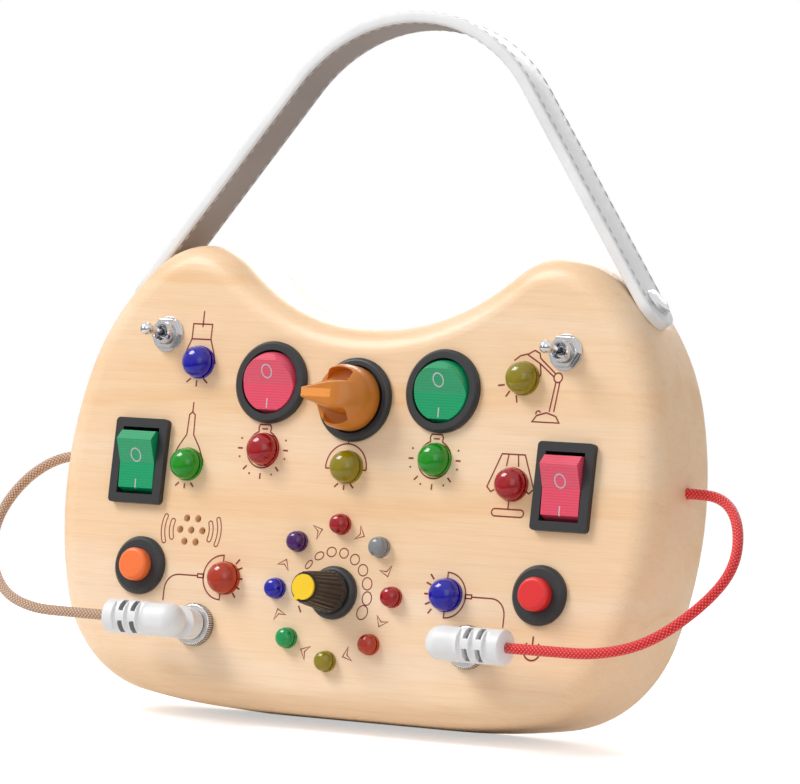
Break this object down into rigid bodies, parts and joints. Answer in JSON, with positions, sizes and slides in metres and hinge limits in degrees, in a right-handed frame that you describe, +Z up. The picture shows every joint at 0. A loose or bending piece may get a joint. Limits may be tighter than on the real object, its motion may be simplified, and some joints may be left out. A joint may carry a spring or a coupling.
{
  "type": "wooden busy board",
  "caption": "Hollow wooden activity board with switches, lamps, a dial, plug-in cords and a stitched carrying strap.",
  "frame": {"origin": "middle of the flat foot, on the floor, halfway between the front and back faces", "axes": "+Z up, the front face with the switches faces -Y, +X to the right seen from the front"},
  "size_m": [0.2411, 0.0497, 0.1976],
  "materials": {
    "wood": "satin lacquered pine",
    "panel_print": "printed board",
    "cover_print": "printed satin",
    "black_plastic": "satin moulded",
    "cell_wrap": "glossy wrap",
    "steel": "plain",
    "board_green": "solder resist",
    "chrome": "polished",
    "black_screw": "blackened",
    "pink_plastic": "satin gloss",
    "green_plastic": "satin gloss",
    "orange_knob": "satin",
    "orange_button": "satin",
    "red_button": "satin",
    "knob_black": "satin moulded",
    "yellow_cap": "satin",
    "lamp_blue_lens": "clear tinted",
    "lamp_yellow_lens": "clear tinted",
    "lamp_red_lens": "clear tinted",
    "lamp_green_lens": "clear tinted",
    "lamp_orange_lens": "clear tinted",
    "lamp_clear_lens": "clear",
    "lamp_purple_lens": "clear tinted",
    "diode_white": "clear",
    "plug_white": "satin moulded",
    "cord_tan": "braided",
    "cord_red": "braided",
    "strap_white": "stitched, fine grain"
  },
  "bodies": {
    "root": {"wooden_body": "wood", "back_panel": "panel_print", "battery_cover": "cover_print", "battery_box": "black_plastic", "square_rocker_housings": "black_plastic", "round_rocker_housings": "black_plastic", "selector_housing": "black_plastic", "button_housings": "black_plastic", "button_nuts": "black_plastic", "dial_nut": "black_plastic", "dial_control": "black_plastic", "speaker": "black_plastic", "toggle_bodies": "black_plastic", "batteries": "cell_wrap", "battery_contacts": "steel", "strap_inserts": "steel", "circuit_board": "board_green", "back_panel_screws": "chrome", "toggle_nuts": "chrome", "socket_nuts": "chrome", "strap_screws": "chrome", "sockets": "chrome", "battery_cover_screws": "black_screw", "lamps_blue": "lamp_blue_lens", "ring_lamp_blue": "lamp_blue_lens", "lamps_yellow": "lamp_yellow_lens", "ring_lamp_olive": "lamp_yellow_lens", "lamps_red": "lamp_red_lens", "ring_lamps_red": "lamp_red_lens", "lamps_green": "lamp_green_lens", "ring_lamp_green": "lamp_green_lens", "lamp_orange": "lamp_orange_lens", "ring_lamp_amber": "lamp_orange_lens", "ring_lamp_clear": "lamp_clear_lens", "ring_lamp_purple": "lamp_purple_lens", "lamp_diodes": "diode_white", "cord_left": "cord_tan", "cord_right": "cord_red", "strap_tab_left": "strap_white", "strap_tab_right": "strap_white"},
    "toggle_left": {"toggle_left_lever": "chrome"},
    "toggle_right": {"toggle_right_lever": "chrome"},
    "round_rocker_left": {"round_rocker_left_paddle": "pink_plastic"},
    "round_rocker_right": {"round_rocker_right_paddle": "green_plastic"},
    "square_rocker_left": {"square_rocker_left_paddle": "green_plastic"},
    "square_rocker_right": {"square_rocker_right_paddle": "pink_plastic"},
    "selector": {"selector_grip": "orange_knob"},
    "button_left": {"button_left_cap": "orange_button"},
    "button_right": {"button_right_cap": "red_button"},
    "dial": {"dial_spindle": "steel", "dial_knob_grip": "knob_black", "dial_pointer_cap": "yellow_cap"},
    "plug_left": {"plug_left_body": "plug_white", "plug_left_pin": "chrome"},
    "plug_right": {"plug_right_body": "plug_white", "plug_right_pin": "chrome"},
    "handle": {"strap_arch": "strap_white"}
  },
  "joints": [
    {"name": "toggle_left_flip", "type": "hinge", "parent": "root", "child": "toggle_left", "pos_m": [-0.0647, -0.0176, 0.1028], "axis": [1, 0, 0], "range_deg": [-11, 11]},
    {"name": "round_rocker_left_press", "type": "hinge", "parent": "root", "child": "round_rocker_left", "pos_m": [-0.0279, -0.0145, 0.0906], "axis": [-1, 0, 0], "range_deg": [0, 28]},
    {"name": "square_rocker_left_press", "type": "hinge", "parent": "root", "child": "square_rocker_left", "pos_m": [-0.0689, -0.0145, 0.0665], "axis": [-1, 0, 0], "range_deg": [0, 28]},
    {"name": "button_left_press", "type": "slide", "parent": "root", "child": "button_left", "axis": [0, 1, 0], "range_m": [0, 0.0025], "stiffness_N_per_m": 300},
    {"name": "plug_left_pull", "type": "slide", "parent": "root", "child": "plug_left", "axis": [0, -1, 0], "range_m": [0, 0.01]},
    {"name": "toggle_right_flip", "type": "hinge", "parent": "root", "child": "toggle_right", "pos_m": [0.0647, -0.0176, 0.1028], "axis": [1, 0, 0], "range_deg": [-11, 11]},
    {"name": "round_rocker_right_press", "type": "hinge", "parent": "root", "child": "round_rocker_right", "pos_m": [0.0279, -0.0145, 0.0906], "axis": [-1, 0, 0], "range_deg": [0, 28]},
    {"name": "square_rocker_right_press", "type": "hinge", "parent": "root", "child": "square_rocker_right", "pos_m": [0.0689, -0.0145, 0.0665], "axis": [-1, 0, 0], "range_deg": [0, 28]},
    {"name": "button_right_press", "type": "slide", "parent": "root", "child": "button_right", "axis": [0, 1, 0], "range_m": [0, 0.0025], "stiffness_N_per_m": 300},
    {"name": "plug_right_pull", "type": "slide", "parent": "root", "child": "plug_right", "axis": [0, -1, 0], "range_m": [0, 0.01]},
    {"name": "selector_turn", "type": "hinge", "parent": "root", "child": "selector", "pos_m": [0, -0.015, 0.087], "axis": [0, 1, 0], "range_deg": [0, 90]},
    {"name": "dial_turn", "type": "hinge", "parent": "root", "child": "dial", "pos_m": [0, -0.015, 0.03365], "axis": [0, 1, 0], "range_deg": [0, 280]},
    {"name": "handle_swing", "type": "hinge", "parent": "root", "child": "handle", "pos_m": [0, 0, 0.1324], "axis": [1, 0, 0], "range_deg": [-38, 38], "stiffness_Nm_per_rad": 0.03}
  ]
}
